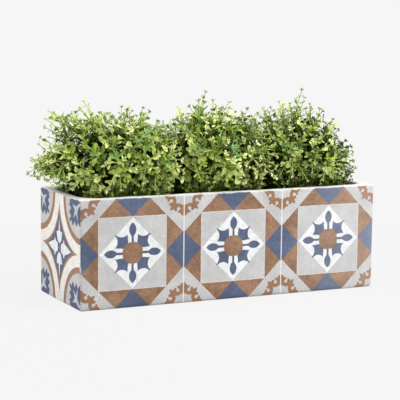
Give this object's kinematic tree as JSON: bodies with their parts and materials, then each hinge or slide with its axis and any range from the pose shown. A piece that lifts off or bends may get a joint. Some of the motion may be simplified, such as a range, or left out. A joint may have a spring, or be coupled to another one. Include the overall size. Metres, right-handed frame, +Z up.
{
  "type": "rectangular planter",
  "caption": "Long box-shaped cast cement planter printed with a traditional tile pattern, holding potted box plants that lift out, with rubber drain plugs in its floor.",
  "frame": {"origin": "middle of the base, on the surface that the planter stands on", "axes": "+X along the planter's length to the right as seen from the front, -Y out of the front, +Z up"},
  "size_m": [0.6592, 0.2248, 0.3841],
  "materials": {
    "printed_cement": "matte",
    "black_rubber": "matte",
    "pot_plastic": "matte",
    "soil": "matte",
    "leaves": "satin"
  },
  "bodies": {
    "planter": {"planter_shell": "printed_cement"},
    "drain_plug_left": {"drain_plug_left": "black_rubber"},
    "drain_plug_right": {"drain_plug_right": "black_rubber"},
    "potted_plant_left": {"nursery_pot_left": "pot_plastic", "root_ball_left": "soil", "plant_left": "leaves"},
    "potted_plant_middle": {"nursery_pot_middle": "pot_plastic", "root_ball_middle": "soil", "plant_middle": "leaves"},
    "potted_plant_right": {"nursery_pot_right": "pot_plastic", "root_ball_right": "soil", "plant_right": "leaves"}
  },
  "joints": [
    {"name": "pull_drain_plug_left", "type": "slide", "parent": "planter", "child": "drain_plug_left", "axis": [0, 0, 1], "range_m": [0, 0.03]},
    {"name": "pull_drain_plug_right", "type": "slide", "parent": "planter", "child": "drain_plug_right", "axis": [0, 0, 1], "range_m": [0, 0.03]},
    {"name": "lift_potted_plant_left", "type": "slide", "parent": "planter", "child": "potted_plant_left", "axis": [0, 0, 1], "range_m": [0, 0.37]},
    {"name": "lift_potted_plant_middle", "type": "slide", "parent": "planter", "child": "potted_plant_middle", "axis": [0, 0, 1], "range_m": [0, 0.37]},
    {"name": "lift_potted_plant_right", "type": "slide", "parent": "planter", "child": "potted_plant_right", "axis": [0, 0, 1], "range_m": [0, 0.37]}
  ]
}
